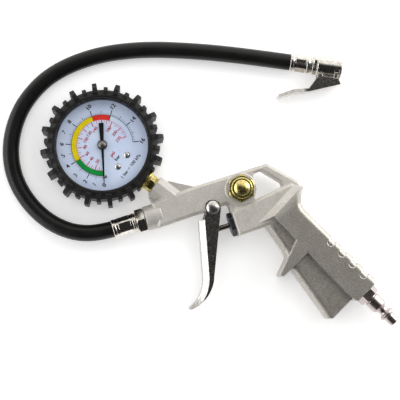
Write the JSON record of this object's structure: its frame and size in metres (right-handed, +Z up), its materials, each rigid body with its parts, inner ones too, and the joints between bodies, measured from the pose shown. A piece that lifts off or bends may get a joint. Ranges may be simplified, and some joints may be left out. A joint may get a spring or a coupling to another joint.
{
  "type": "tyre inflator with gauge",
  "caption": "Hand-held tyre inflator gun with a trigger valve, round pressure gauge in a rubber boot, air-release valve, and a hose with a clip-on chuck.",
  "frame": {"origin": "on the surface the tool lies on, under the middle of the gun and gauge (hose and fittings left out)", "axes": "+X runs rearward along the barrel, +Y away from the trigger in the gun's plane, +Z up out of the side that shows the dial"},
  "size_m": [0.2596, 0.2582, 0.032],
  "materials": {
    "cast_alloy": "satin, fine cast grain",
    "plated_steel": "nickel plated",
    "polished_steel": "polished",
    "black_steel": "black oxide",
    "brass": "bright brass",
    "spring_steel": "drawn wire",
    "rubber_boot": "matt",
    "hose_rubber": "smooth",
    "seal_rubber": "smooth",
    "case_steel": "black",
    "dial_white": "printed",
    "pointer_black": "black",
    "lens_clear": "clear",
    "fibre": "fibre washer"
  },
  "bodies": {
    "gun": {"bleed_gasket": "fibre", "bleed_spring": "spring_steel", "bleed_valve_nut": "brass", "body_casting": "cast_alloy", "bourdon_tube": "brass", "chuck_body": "plated_steel", "chuck_core_pin": "brass", "chuck_seal": "seal_rubber", "chuck_tail": "plated_steel", "clip_pin": "polished_steel", "clip_spring": "spring_steel", "dial_plate": "dial_white", "dial_screws": "polished_steel", "gauge_boot": "rubber_boot", "gauge_case": "case_steel", "gauge_lens": "lens_clear", "gauge_stem": "brass", "gland_nut": "black_steel", "hairspring": "spring_steel", "hose": "hose_rubber", "hose_ferrule_chuck": "plated_steel", "hose_ferrule_gun": "plated_steel", "hose_nut_gun": "plated_steel", "inlet_gasket": "fibre", "inlet_plug": "plated_steel", "lens_ring": "case_steel", "movement_frame": "brass", "movement_screws": "polished_steel", "pin_clip": "spring_steel", "plunger_seal": "seal_rubber", "stop_pin": "polished_steel", "trigger_pin": "polished_steel", "valve_seat": "brass", "valve_spring": "spring_steel"},
    "trigger": {"trigger": "plated_steel"},
    "plunger": {"plunger_pin": "polished_steel", "valve_poppet": "brass", "poppet_seal": "seal_rubber"},
    "bleed_button": {"bleed_button": "brass", "bleed_poppet": "brass", "bleed_seal": "seal_rubber"},
    "pointer": {"pointer": "pointer_black", "pinion_shaft": "polished_steel", "pointer_cap": "polished_steel"},
    "sector": {"sector_gear": "brass"},
    "link": {"link": "brass"},
    "chuck_clip": {"chuck_clip": "plated_steel"}
  },
  "joints": [
    {"name": "trigger_pull", "type": "hinge", "parent": "gun", "child": "trigger", "pos_m": [0.00056, 0.00518, 0.013], "axis": [0, 0, 1], "range_deg": [0, 13], "stiffness_Nm_per_rad": 0.4, "springref_deg": -5.73},
    {"name": "plunger_slide", "type": "slide", "parent": "gun", "child": "plunger", "axis": [1, 0, 0], "range_m": [0, 0.0039], "deforming": ["valve_spring"]},
    {"name": "bleed_press", "type": "slide", "parent": "gun", "child": "bleed_button", "axis": [0, 0, -1], "range_m": [0, 0.002], "stiffness_N_per_m": 800, "springref_m": -0.002, "deforming": ["bleed_spring"]},
    {"name": "sector_turn", "type": "hinge", "parent": "gun", "child": "sector", "pos_m": [-0.06098, 0.05509, 0.013], "axis": [0, 0, 1], "range_deg": [0, 26.7], "stiffness_Nm_per_rad": 0.001, "springref_deg": -5.73},
    {"name": "pointer_turn", "type": "hinge", "parent": "gun", "child": "pointer", "pos_m": [-0.06088, 0.07152, 0.013], "axis": [0, 0, 1], "range_deg": [-267, 0]},
    {"name": "link_turn", "type": "hinge", "parent": "sector", "child": "link", "pos_m": [-0.067, 0.05759, 0.013], "axis": [0, 0, 1], "range_deg": [-61, 0]},
    {"name": "clip_squeeze", "type": "hinge", "parent": "gun", "child": "chuck_clip", "pos_m": [0.1059, 0.07314, 0.0077], "axis": [0, 0, -1], "range_deg": [0, 18], "stiffness_Nm_per_rad": 0.2, "springref_deg": -11.46}
  ],
  "couplings": [
    {"joint": "plunger_slide", "follows": "trigger_pull", "m_per_rad": 0.017},
    {"joint": "pointer_turn", "follows": "sector_turn", "ratio": -10},
    {"joint": "link_turn", "follows": "sector_turn", "ratio": -2.24}
  ]
}
